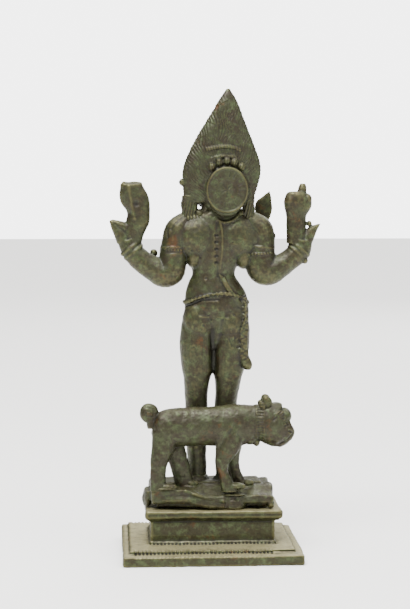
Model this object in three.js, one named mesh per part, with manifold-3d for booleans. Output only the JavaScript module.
// Small cast bronze of a standing four-armed Bhairava with a dog, on a stepped pedestal.
// Millimetres, +Z up. The origin is the centre of the plinth's underside.
// The figure faces -Y, its back is towards +Y, and its own left side is at +X.
import * as THREE from 'three';
import { mergeVertices } from 'three/addons/utils/BufferGeometryUtils.js';
import Module from 'manifold-3d';

const wasm = await Module();
wasm.setup();

// Pedestal
const SLAB = { x: 50, y: 40, top: 2.9, round: 1.4 };
const STEP = { left: 23.1, right: -23.2, near: 16.8, far: -18.6, top: 3.9 };
const NECK = { left: 16.9, right: -17.9, near: 8.4, far: -12.2, top: 11.2 };
const CORNICE = { left: 18.0, right: -20.2, near: 9.6, far: -13.2, top: 13.4 };

// Plate under figure and dog, part of the figure's casting
const CASTING_GAP = 0.3;
const PLATE = {
  left: 16.9, right: -17.9, near: 8.2, far: -11.6, top: 19.5, bottom: 15.0,
  seat: { near: 5.2, left: 15.2, right: -16.2 },
};
const POUR = { x: -6.6, radius: 4.0 };
const LUG = { x: 17.6, y: 0.6, out: 2.0, half: 5.2 };

// Figure
const DISC = { x: -4.9, y: 1.2, z: 103.6, radius: 6.1, thick: 1.6, rim: 0.55, spokes: 12, sides: 20 };
const FACE = { x: -4.1, z: 104.2, front: -10.6 };
const TRIDENT = { x: -15.9, y: -12.2, foot: 77.6, neck: 94.2, shaft: 0.85 };
const BEAD = 0.62;
const ARMLET = { radius: 4.2, high: 1.5 };
const WRIST_BAND = { radius: 3.3, high: 1.6 };
const FINGER = { long: 2.6, deep: 0.9, half: 0.75, pitch: 1.35 };
const SKULL_CUP = { x: 1.6, y: -14.4, z: 87.6 };
const EAR = { out: 5.4, drop: 1.6 };

const BRONZE = { color: 0x6b6648, roughness: 0.62, metalness: 0.55 };
const BRONZE_BASE = { color: 0x767254, roughness: 0.66, metalness: 0.5 };

const UP = new THREE.Vector3(0, 0, 1);
const ACROSS = new THREE.Vector3(1, 0, 0);
const DEEP = new THREE.Vector3(0, 1, 0);

function toSolid(geometry) {
  const bare = geometry.clone();
  bare.deleteAttribute('normal');
  bare.deleteAttribute('uv');
  const merged = mergeVertices(bare, 1e-4);
  return new wasm.Manifold(new wasm.Mesh({
    numProp: 3,
    vertProperties: new Float32Array(merged.attributes.position.array),
    triVerts: new Uint32Array(merged.index.array),
  }));
}

function joined(solids) {
  return solids.flat(Infinity).reduce((whole, next) => whole.add(next));
}

// The triangles of the largest connected skin, without the small closed hollows that joining
// rounded bodies can leave between them.
function outerSkin({ vertProperties, triVerts }) {
  const parent = Array.from({ length: vertProperties.length / 3 }, (_, i) => i);
  const root = (i) => {
    let at = i;
    while (parent[at] !== at) {
      parent[at] = parent[parent[at]];
      at = parent[at];
    }
    return at;
  };
  for (let i = 0; i < triVerts.length; i += 3) {
    parent[root(triVerts[i])] = root(triVerts[i + 1]);
    parent[root(triVerts[i + 1])] = root(triVerts[i + 2]);
  }
  const skins = new Map();
  for (let i = 0; i < triVerts.length; i += 3) {
    const key = root(triVerts[i]);
    if (!skins.has(key)) skins.set(key, []);
    skins.get(key).push(triVerts[i], triVerts[i + 1], triVerts[i + 2]);
  }
  return [...skins.values()].reduce((a, b) => (b.length > a.length ? b : a));
}

function toMesh(name, solid, finish) {
  const mesh = solid.getMesh();
  const geometry = new THREE.BufferGeometry();
  geometry.setAttribute('position', new THREE.BufferAttribute(new Float32Array(mesh.vertProperties), 3));
  geometry.setIndex(new THREE.BufferAttribute(new Uint32Array(outerSkin(mesh)), 1));
  geometry.computeVertexNormals();
  const part = new THREE.Mesh(geometry, new THREE.MeshStandardMaterial(finish));
  part.name = name;
  return part;
}

function smooth(rows, t) {
  const at = t * (rows.length - 1);
  const i = Math.min(Math.floor(at), rows.length - 2);
  const f = at - i;
  const [p0, p1, p2, p3] = [-1, 0, 1, 2].map((k) => rows[Math.min(Math.max(i + k, 0), rows.length - 1)]);
  return p1.map((b, k) => {
    const m1 = (p2[k] - p0[k]) / 2;
    const m2 = (p3[k] - b) / 2;
    return b + f * (m1 + f * (3 * (p2[k] - b) - 2 * m1 - m2 + f * (m1 + m2 - 2 * (p2[k] - b))));
  });
}

// A body through rows of [x, y, z, half width, half depth]. Its rings are level, or square to the
// path when a direction for the half width is given. `flutes` waves the skin in and out, and
// `lift` raises a ring by an amount that depends on the angle.
function loft(path, { sides = 12, along = null, flutes = 0, wave = 0, lift = () => 0 } = {}) {
  const falls = !along && path[0][2] > path[path.length - 1][2];
  const rows = falls ? [...path].reverse() : path;
  const rings = rows.length - 1;
  const geometry = new THREE.CylinderGeometry(1, 1, 1, sides, rings);
  const point = geometry.attributes.position;
  for (let i = 0; i < point.count; i += 1) {
    const t = point.getY(i) + 0.5;
    const [x, y, z, a, b] = smooth(rows, t);
    const centre = new THREE.Vector3(x, y, z);
    const ringX = ACROSS.clone();
    const ringY = DEEP.clone();
    if (along) {
      const before = smooth(rows, Math.max(t - 0.02, 0));
      const after = smooth(rows, Math.min(t + 0.02, 1));
      const way = new THREE.Vector3(...after.slice(0, 3)).sub(new THREE.Vector3(...before.slice(0, 3)));
      way.normalize();
      ringX.copy(along).addScaledVector(way, -along.dot(way)).normalize();
      ringY.crossVectors(way, ringX);
    }
    const angle = Math.atan2(-point.getZ(i), point.getX(i));
    const swell = 1 + wave * Math.cos(flutes * angle);
    const out = Math.hypot(point.getX(i), point.getZ(i)) * swell;
    centre.addScaledVector(ringX, Math.max(a, 0.05) * out * Math.cos(angle));
    centre.addScaledVector(ringY, Math.max(b, 0.05) * out * Math.sin(angle));
    centre.z += lift(angle) * Math.min(out, 1);
    point.setXYZ(i, centre.x, centre.y, centre.z);
  }
  return toSolid(geometry);
}

function ball([x, y, z], [a, b, c], around, down) {
  const geometry = new THREE.SphereGeometry(1, around, down);
  geometry.rotateX(Math.PI / 2);
  geometry.scale(a, b, c);
  geometry.translate(x, y, z);
  return toSolid(geometry);
}

function block(x0, x1, y0, y1, z0, z1) {
  const geometry = new THREE.BoxGeometry(x1 - x0, y1 - y0, z1 - z0);
  geometry.translate((x0 + x1) / 2, (y0 + y1) / 2, (z0 + z1) / 2);
  return toSolid(geometry);
}

// A flat outline in X and Z, thickened towards +Y from `y`.
function board(points, y, thick, edge) {
  const shape = new THREE.Shape(points.map(([x, z]) => new THREE.Vector2(x, z)));
  const geometry = new THREE.ExtrudeGeometry(shape, {
    depth: thick - 2 * edge, bevelEnabled: true, bevelThickness: edge, bevelSize: edge,
    bevelOffset: -edge, bevelSegments: 1,
  });
  geometry.rotateX(Math.PI / 2);
  geometry.translate(0, y + thick - edge, 0);
  return toSolid(geometry);
}

// A plan outline with round corners, between two heights.
function roundedSlab(x0, x1, y0, y1, z0, z1, round, edge) {
  const shape = new THREE.Shape();
  shape.moveTo(x0 + round, y0);
  shape.lineTo(x1 - round, y0);
  shape.quadraticCurveTo(x1, y0, x1, y0 + round);
  shape.lineTo(x1, y1 - round);
  shape.quadraticCurveTo(x1, y1, x1 - round, y1);
  shape.lineTo(x0 + round, y1);
  shape.quadraticCurveTo(x0, y1, x0, y1 - round);
  shape.lineTo(x0, y0 + round);
  shape.quadraticCurveTo(x0, y0, x0 + round, y0);
  const geometry = new THREE.ExtrudeGeometry(shape, {
    depth: z1 - z0 - 2 * edge, curveSegments: 2, bevelEnabled: edge > 0, bevelThickness: edge,
    bevelSize: edge, bevelOffset: -edge, bevelSegments: 1,
  });
  geometry.translate(0, 0, z0 + edge);
  return toSolid(geometry);
}

// A band of beads around the body, `a` and `b` out from (x, y).
function beadBand(count, [x, y, z], a, b, lift) {
  const rows = [-1, 0, 1].map((k) => [x, y, z + k * BEAD, a - Math.abs(k) * BEAD, b - Math.abs(k) * BEAD]);
  return loft(rows, { sides: 2 * count, flutes: count, wave: 0.03, lift });
}

function band([x, y, z], { radius, high }) {
  return loft([[x, y, z - high / 2, radius, radius], [x, y, z + high / 2, radius, radius]], { sides: 8 });
}

function mirrored(make) {
  return [-1, 1].map(make);
}

function trunk() {
  const torso = [
    [-1.8, -4.4, 58, 7.5, 2.6], [-1.9, -3.9, 63.5, 9.2, 4.0], [-2.3, -3.4, 69.5, 9.2, 5.1],
    [-2.0, -3.5, 74, 8.7, 4.9], [-1.5, -3.7, 77.2, 7.3, 4.5], [-1.4, -3.8, 80, 6.2, 4.2],
    [-2.0, -4.0, 84.5, 7.8, 4.8], [-2.7, -4.1, 89, 10.0, 5.1], [-2.9, -3.9, 93, 11.0, 4.4],
    [-3.0, -3.7, 96.0, 8.2, 3.6], [-3.5, -3.6, 98.0, 4.3, 3.2], [-3.8, -3.6, 101, 3.4, 3.0],
  ];
  return [
    loft(torso, { sides: 12 }),
    mirrored((s) => ball([-1.9 + 4.5 * s, -1.9, 66.0], [5.0, 4.1, 6.0], 8, 6)),
    mirrored((s) => ball([-2.5 + 4.3 * s, -7.2, 89.6], [3.6, 2.2, 2.8], 6, 4)),
    ball([-1.7, -7.0, 77.5], [4.2, 2.2, 4.4], 6, 4),
  ];
}

const LEG_ROWS = {
  left: [
    [2.7, -3.7, 68, 4.6, 4.3], [3.2, -3.8, 60, 5.0, 4.7], [3.0, -4.0, 53, 4.6, 4.4],
    [3.4, -4.2, 49, 3.75, 4.1], [3.5, -4.4, 43, 3.25, 3.6], [3.5, -3.9, 36, 3.4, 3.6],
    [3.4, -4.1, 28, 2.7, 2.9], [3.1, -4.4, 18.8, 2.7, 3.0],
  ],
  right: [
    [-6.6, -3.7, 68, 4.9, 4.3], [-6.7, -3.8, 60, 5.2, 4.7], [-5.8, -4.0, 53, 4.8, 4.4],
    [-5.7, -4.2, 49, 3.8, 4.1], [-5.1, -4.4, 43, 3.2, 3.6], [-5.0, -3.9, 36, 3.4, 3.6],
    [-4.8, -4.1, 28, 2.7, 2.9], [-4.8, -4.4, 18.8, 2.7, 3.0],
  ],
};

function leg(side) {
  const rows = side > 0 ? LEG_ROWS.left : LEG_ROWS.right;
  const [x, y, z] = rows[rows.length - 1];
  const splay = 0.9 * side;
  const foot = [
    [x, y + 3.0, z + 1.5, 1.5, 0.9], [x, y + 0.5, z + 2.0, 2.4, 1.9],
    [x + splay * 0.6, y - 3.6, z + 1.7, 2.6, 1.4], [x + splay, y - 6.2, z + 1.2, 2.4, 0.7],
  ];
  return [loft(rows, { sides: 12 }), loft(foot, { sides: 6, along: ACROSS })];
}

// Rear arms: down from the shoulder, then out and up from the elbow.
const REAR_ARM_ROWS = {
  left: [
    [5.6, -3.8, 95.8, 2.6, 2.4], [8.7, -3.6, 92.9, 3.8, 3.9], [9.8, -3.3, 89.4, 3.5, 3.5],
    [9.9, -3.2, 86.0, 3.5, 3.9], [10.4, -3.0, 83.0, 3.5, 4.1], [11.0, -2.9, 80.8, 3.5, 4.3],
    [12.9, -2.9, 79.7, 3.4, 4.1], [15.2, -2.9, 80.7, 3.2, 3.9], [18.6, -2.9, 83.0, 2.8, 3.3],
    [21.6, -3.0, 86.0, 2.5, 3.0], [22.9, -3.0, 89.6, 2.2, 3.2],
  ],
  right: [
    [-11.0, -3.8, 95.6, 2.6, 2.6], [-14.3, -3.6, 92.7, 3.8, 4.0], [-15.2, -3.3, 89.4, 3.6, 3.9],
    [-14.9, -3.2, 86.0, 3.6, 4.3], [-15.0, -3.0, 83.2, 3.6, 4.6], [-15.6, -2.9, 81.0, 3.6, 4.7],
    [-17.6, -2.9, 79.9, 3.5, 4.3], [-20.0, -2.9, 81.0, 3.2, 3.9], [-23.4, -2.9, 83.2, 2.8, 3.5],
    [-26.0, -3.0, 86.2, 2.6, 3.2], [-26.6, -3.0, 89.4, 2.3, 3.3],
  ],
};

function rearArms() {
  const arms = Object.values(REAR_ARM_ROWS).map((rows) => loft(rows, { sides: 8, along: DEEP }));
  const armlets = [[10.0, -3.2, 86.6], [-15.2, -3.2, 86.2]].map((at) => band(at, ARMLET));
  const wrists = [[22.3, -3.0, 88.0], [-26.4, -3.0, 87.7]].map((at) => band(at, WRIST_BAND));
  return [arms, armlets, wrists];
}

// Front arms: bent forward, the right one holding the trident, the left one a skull cup.
const FRONT_ARM_ROWS = {
  left: [
    [8.2, -5.0, 92.4, 2.4, 2.4], [10.4, -6.6, 88.4, 2.9, 2.8], [11.2, -8.6, 83.6, 2.7, 2.6],
    [8.8, -12.0, 83.4, 2.3, 2.2], [4.6, -13.8, 86.0, 2.0, 1.8], [2.4, -14.2, 87.2, 1.6, 1.3],
  ],
  right: [
    [-13.2, -5.0, 92.2, 2.4, 2.4], [-15.4, -6.6, 88.2, 2.9, 2.8], [-17.0, -8.2, 82.8, 2.7, 2.6],
    [-16.9, -10.8, 81.8, 2.3, 2.2], [-16.2, -12.3, 84.2, 2.0, 2.0], [-16.0, -12.6, 87.2, 2.2, 1.9],
  ],
};

function frontArms() {
  const aslant = new THREE.Vector3(0.6, -0.8, 0);
  const arms = [
    loft(FRONT_ARM_ROWS.left, { sides: 6, along: aslant }),
    loft(FRONT_ARM_ROWS.right, { sides: 6, along: ACROSS }),
  ];
  const bowl = new THREE.LatheGeometry([
    [0, 0], [1.9, 0.5], [2.8, 2.4], [2.2, 2.4], [1.6, 1.4], [0, 1.1],
  ].map(([r, h]) => new THREE.Vector2(r, h)), 10);
  bowl.rotateX(Math.PI / 2);
  bowl.translate(SKULL_CUP.x, SKULL_CUP.y, SKULL_CUP.z);
  const knuckles = [0, 1, 2].map((i) => (
    ball([TRIDENT.x, TRIDENT.y - 2.1, 84.8 + 1.2 * i], [1.8, FINGER.deep, FINGER.half], 5, 3)));
  return [arms, toSolid(bowl), knuckles];
}

function trident() {
  const { x, y, foot, neck, shaft } = TRIDENT;
  const blade = [
    [x - 0.7, neck - 1.2], [x - 2.0, neck + 0.4], [x - 2.9, neck + 3.6], [x - 3.0, neck + 7.2],
    [x - 2.2, neck + 8.7], [x - 0.2, neck + 7.0], [x + 1.5, neck + 6.4], [x + 2.1, neck + 4.8],
    [x + 1.5, neck + 1.6], [x + 0.6, neck - 1.2],
  ];
  return [
    loft([[x, y, foot, shaft, shaft], [x, y, neck + 2, shaft, shaft]], { sides: 8 }),
    board(blade, y - 0.9, 1.8, 0.4),
    band([x, y, neck - 0.4], { radius: 1.4, high: 1.0 }),
  ];
}

function fingers(x, z) {
  const { long, deep, half, pitch } = FINGER;
  return [0, 1, 2].map((i) => ball([x, -5.1, z + pitch * i], [long, deep, half], 5, 3));
}

// Left rear hand with a looped noose, right rear hand with a small waisted drum.
function heldThings() {
  const noose = [
    [21.6, -3.0, 88.4, 2.4, 1.8], [21.4, -3.0, 91.4, 3.2, 2.0], [20.3, -3.0, 94.4, 3.4, 2.1],
    [20.2, -3.0, 97.2, 3.6, 2.1], [20.9, -3.0, 99.8, 4.2, 2.2], [21.4, -3.0, 102.2, 4.1, 2.2],
    [21.9, -3.0, 104.6, 3.2, 2.0], [22.0, -3.0, 105.5, 3.0, 1.8],
  ];
  const leftThumb = [
    [23.8, -3.0, 88.4, 2.3, 1.9], [24.9, -3.0, 91.0, 2.3, 1.8], [26.2, -3.0, 93.0, 1.7, 1.3],
    [27.8, -3.0, 94.9, 0.4, 0.5],
  ];
  const drum = [
    [-25.2, -3.0, 88.4, 2.9, 2.0], [-25.1, -3.0, 92.0, 2.9, 2.1], [-25.1, -3.0, 96.0, 3.0, 2.1],
    [-25.5, -3.0, 98.4, 3.8, 2.3], [-25.5, -3.0, 100.6, 4.0, 2.4], [-25.3, -3.0, 102.4, 3.1, 2.1],
    [-25.4, -3.0, 103.1, 2.4, 1.6],
  ];
  const rightThumb = [
    [-27.4, -3.0, 88.2, 2.4, 1.9], [-28.8, -3.0, 90.8, 2.0, 1.6], [-30.0, -3.0, 92.8, 1.6, 1.3],
    [-31.9, -3.0, 93.9, 0.4, 0.5],
  ];
  const nub = [
    [25.2, -3.0, 99.6, 0.5, 0.9], [24.0, -3.0, 97.6, 0.8, 1.1], [22.8, -3.0, 96.0, 1.0, 1.2],
  ];
  const knob = [
    [-26.6, -3.0, 102.2, 1.3, 1.2], [-26.9, -3.0, 104.2, 1.1, 1.0], [-27.0, -3.0, 105.2, 0.8, 0.7],
  ];
  return [
    loft(noose, { sides: 8 }),
    [24.2, 19.6].map((x) => ball([x, -3.0, 105.2], [1.2, 1.5, 0.9], 6, 4)),
    loft(nub, { sides: 5 }),
    loft(leftThumb, { sides: 6 }),
    fingers(21.6, 90.6),
    loft(drum, { sides: 8 }),
    loft(knob, { sides: 6 }),
    loft(rightThumb, { sides: 6 }),
    ball([-28.9, -3.0, 93.9], [0.9, 1.1, 0.8], 6, 4),
    fingers(-25.2, 90.0),
  ];
}

function head() {
  const { x, z, front } = FACE;
  const skull = [
    [x, -5.4, z - 7.0, 2.0, 2.2], [x, -5.6, z - 5.4, 3.7, 4.0], [x, -5.4, z - 2.6, 4.9, 5.0],
    [x, -5.2, z + 1.2, 5.4, 5.3], [x, -5.0, z + 4.6, 5.1, 5.2], [x, -4.8, z + 7.4, 3.6, 4.2],
  ];
  const nose = [
    [x, front + 0.5, z + 1.9, 0.55, 0.6], [x, front - 0.2, z - 1.3, 1.1, 0.9],
    [x, front + 0.6, z - 2.1, 0.8, 0.5],
  ];
  return [
    loft(skull, { sides: 12 }),
    loft(nose, { sides: 6 }),
    mirrored((s) => ball([x + 2.15 * s, front + 0.6, z + 0.7], [1.35, 0.7, 0.6], 6, 4)),
    ball([x, front + 0.65, z - 3.5], [1.5, 0.7, 0.75], 6, 4),
    ball([x, -9.2, z - 5.7], [1.5, 1.3, 1.1], 6, 4),
    mirrored((s) => ball([x + EAR.out * s, -5.8, z - EAR.drop], [0.9, 1.4, 2.9], 6, 4)),
    mirrored((s) => ball([x + (EAR.out + 0.6) * s, -6.0, z - EAR.drop - 3.0], [1.3, 0.9, 1.4], 6, 4)),
    ball([x, -9.2, z + 6.0], [1.4, 1.0, 1.7], 6, 4),
  ];
}

// Hair standing up round the head as one pointed leaf, fluted into locks.
function hair() {
  const leaf = [
    [-2.75, -2.3, 100.2, 9.95, 1.7], [-3.0, -2.3, 102.6, 10.4, 2.3], [-3.6, -2.3, 107.4, 11.3, 2.8],
    [-3.8, -2.3, 111.0, 10.9, 2.9], [-4.0, -2.2, 115.0, 9.5, 2.7], [-4.4, -2.1, 119.5, 7.4, 2.4],
    [-4.9, -2.0, 124.0, 5.1, 2.0], [-5.3, -2.0, 128.5, 2.8, 1.5], [-5.5, -2.0, 132.6, 0.4, 0.3],
  ];
  const leftLock = [
    [5.7, -2.6, 95.0, 2.1, 1.8], [5.5, -2.5, 98.4, 2.1, 1.7], [5.6, -2.4, 102.0, 2.0, 1.5],
  ];
  const rightLock = [
    [-11.9, -2.6, 95.0, 2.0, 1.8], [-11.5, -2.5, 98.4, 1.7, 1.7], [-11.2, -2.4, 102.0, 1.9, 1.5],
  ];
  return [
    loft(leaf, { sides: 28, flutes: 14, wave: 0.035 }),
    loft(leftLock, { sides: 8 }),
    loft(rightLock, { sides: 8 }),
    ball([-3.5, -1.6, 100.2], [5.2, 2.9, 3.6], 8, 6),
    ball([DISC.x + 0.2, -1.1, DISC.z + 0.8], [6.9, 3.1, 7.4], 12, 5),
    [-1, 0, 1].map((i) => ball([DISC.x + 3.6 * i, 0.2, DISC.z + 8.0 - 0.9 * i * i], [2.1, 1.4, 1.5], 6, 4)),
  ];
}

function haloDisc() {
  const { x, y, z, radius, thick, rim, spokes, sides } = DISC;
  const profile = [
    [0, 0], [radius, 0], [radius, thick], [radius - rim, thick], [radius - rim, thick - 0.4],
    [1.4, thick - 0.4], [0, thick + 0.2],
  ].map(([r, h]) => new THREE.Vector2(r, h));
  const plate = new THREE.LatheGeometry(profile, sides);
  plate.translate(x, y, z);
  const petals = Array.from({ length: spokes }, (_, i) => {
    const petal = new THREE.CylinderGeometry(0.75, 0.25, radius - rim - 1.2, 4, 1);
    petal.scale(1, 1, 0.55);
    petal.rotateX(Math.PI / 2);
    petal.rotateZ(Math.PI);
    petal.translate(0, thick - 0.45, (radius - rim + 1.2) / 2);
    petal.rotateY((2 * Math.PI * i) / spokes);
    petal.translate(x, y, z);
    return toSolid(petal);
  });
  return [toSolid(plate), petals];
}

function drapery() {
  const thread = [
    [-2.6, 0.2, 95.8, 0.7, 0.6], [-3.2, 0.9, 91.0, 0.7, 0.6], [-3.2, 0.9, 86.0, 0.7, 0.6],
    [-3.3, 0.3, 80.4, 0.7, 0.6], [-5.6, 0.9, 76.0, 0.9, 0.7], [-10.6, -1.0, 69.4, 0.9, 0.7],
  ];
  const sash = [
    [-10.2, -0.8, 71.5, 1.4, 1.1], [-10.6, -0.2, 66.0, 1.6, 1.3], [-10.1, -0.2, 60.5, 1.5, 1.3],
    [-9.8, -0.3, 56.5, 1.4, 1.2], [-10.9, -0.8, 53.4, 1.5, 1.4], [-11.0, -0.8, 52.2, 0.7, 0.7],
  ];
  const up = (angle) => 1.6 * Math.max(0, Math.sin(angle)) ** 2 - 0.9 * Math.cos(angle);
  const down = (angle) => -2.3 * Math.abs(Math.sin(angle));
  return [
    beadBand(18, [-2.2, -3.4, 72.2], 9.5, 5.9, up),
    loft([[-2.3, -3.4, 69.9, 9.9, 5.7], [-2.2, -3.4, 71.2, 9.7, 5.7]], { sides: 12, lift: up }),
    loft(thread, { sides: 5, along: ACROSS }),
    loft(sash, { sides: 7, along: ACROSS }),
    beadBand(14, [-3.8, -4.0, 98.0], 6.3, 5.4, down),
  ];
}

// The dog walks towards -X across the back of the figure's legs.
function dog() {
  const body = [
    [16.8, 5.0, 37.2, 2.2, 1.8], [15.6, 5.0, 37.0, 4.6, 3.4], [12.0, 5.0, 36.6, 5.7, 3.9],
    [6.0, 5.0, 36.3, 6.1, 3.7], [0.0, 5.0, 36.5, 6.2, 3.7], [-5.0, 5.0, 37.1, 6.2, 3.9],
    [-9.6, 4.9, 37.8, 5.6, 3.6], [-11.6, 4.9, 37.9, 5.3, 3.3], [-11.8, 4.9, 37.9, 5.9, 3.9],
    [-14.0, 4.9, 38.0, 5.9, 3.9], [-14.2, 4.9, 38.0, 5.3, 3.4], [-16.4, 4.9, 37.8, 5.9, 3.7],
    [-19.0, 4.9, 37.2, 6.2, 3.6], [-21.4, 4.9, 37.0, 4.9, 3.0], [-23.2, 4.9, 37.4, 2.4, 1.8],
  ];
  const legs = [
    [[13.0, 7.0, 36.0, 3.8, 1.7], [13.8, 7.1, 30.6, 3.2, 1.7], [14.8, 7.1, 25.6, 2.3, 1.5],
      [15.0, 7.1, 18.8, 2.3, 1.6]],
    [[11.0, 2.8, 34.0, 3.2, 1.6], [9.6, 2.3, 28.6, 2.3, 1.5], [7.6, 1.9, 23.0, 1.9, 1.4],
      [6.4, 1.9, 18.8, 2.1, 1.5]],
    [[-5.2, 7.2, 36.2, 3.6, 1.8], [-4.8, 7.4, 31.0, 3.5, 1.8], [-3.2, 7.3, 26.4, 2.0, 1.6],
      [-4.0, 7.3, 22.6, 1.6, 1.5], [-5.4, 7.4, 18.6, 2.4, 1.6]],
    [[-8.2, 2.8, 34.6, 3.0, 1.7], [-7.9, 2.4, 29.6, 2.1, 1.5], [-7.8, 2.0, 24.6, 1.6, 1.4],
      [-9.2, 2.0, 18.8, 1.9, 1.5]],
  ].map((rows, i) => loft(rows, { sides: i % 2 ? 6 : 8 }));
  const paws = [[12.4, 7.2, 2.6], [5.4, 1.9, 1.8], [-7.2, 7.4, 2.4], [-10.6, 2.0, 1.7]].map(
    ([x, y, long]) => ball([x, y, PLATE.top + 0.6], [long, 1.6, 1.1], 6, 4));
  return [
    loft(body, { sides: 12, along: UP }),
    legs, paws,
    ball([17.3, 5.0, 40.9], [2.75, 1.6, 2.75], 8, 6),
    loft([[16.2, 5.0, 36.8, 1.6, 1.5], [17.0, 5.0, 39.6, 1.3, 1.3]], { sides: 6 }),
    ball([-12.8, 5.8, 31.9], [1.2, 1.1, 1.2], 6, 4),
    [7.0, 2.8].map((y) => ball([-15.7, y, 44.0], [1.4, 1.0, 1.8], 6, 4)),
    ball([-20.2, 4.9, 33.2], [2.9, 2.2, 2.3], 6, 4),
    [7.8, 2.0].map((y) => ball([-18.2, y, 39.2], [1.4, 0.8, 1.9], 6, 4)),
  ];
}

function plate() {
  const { left, right, near, far, top, bottom, seat } = PLATE;
  const seatBottom = CORNICE.top + CASTING_GAP;
  const pour = [
    [POUR.x, near - 2.6, seatBottom, POUR.radius - 0.4, 3.4],
    [POUR.x, near - 2.6, bottom + 0.6, POUR.radius + 0.2, 3.5],
    [POUR.x + 0.6, near - 2.2, top - 1.2, POUR.radius, 2.8],
  ];
  const lug = [
    [LUG.x, LUG.y, seatBottom, LUG.out - 1.1, LUG.half - 2.2],
    [LUG.x, LUG.y, bottom + 1.2, LUG.out - 0.3, LUG.half - 0.8],
    [LUG.x, LUG.y, top, LUG.out, LUG.half],
  ];
  return [
    roundedSlab(right, left, far, near, bottom, top, 2.2, 0.7),
    roundedSlab(seat.right, seat.left, far + 0.8, seat.near, seatBottom, bottom + 1, 0.8, 0),
    loft(pour, { sides: 8 }),
    roundedSlab(right + 1.2, left - 1.0, far + 0.6, 0.8, top - 1, top + 0.9, 2.0, 0.5),
    loft(lug, { sides: 8 }),
  ];
}

function pedestal() {
  const slab = roundedSlab(-SLAB.x / 2, SLAB.x / 2, -SLAB.y / 2, SLAB.y / 2, 0, SLAB.top, SLAB.round, 0.35);
  const step = roundedSlab(STEP.right, STEP.left, STEP.far, STEP.near, SLAB.top - 1, STEP.top, 0.8, 0.2);
  const neck = block(NECK.right, NECK.left, NECK.far, NECK.near, STEP.top - 1, NECK.top);
  const cornice = roundedSlab(
    CORNICE.right, CORNICE.left, CORNICE.far, CORNICE.near, NECK.top - 0.2, CORNICE.top, 0.8, 0.5);
  const foot = roundedSlab(
    NECK.right - 0.5, NECK.left + 0.5, NECK.far - 0.5, NECK.near + 0.5,
    STEP.top - 0.5, STEP.top + 0.7, 0.5, 0.2);
  return joined([slab, step, neck, cornice, foot]);
}

const casting = joined([
  trunk(), leg(1), leg(-1), rearArms(), frontArms(), trident(),
  heldThings(), head(), hair(), haloDisc(), drapery(), dog(), plate(),
]);

const bhairava = new THREE.Group();
bhairava.add(toMesh('bhairava_and_dog', casting, BRONZE));
bhairava.add(toMesh('pedestal', pedestal(), BRONZE_BASE));

export default bhairava;
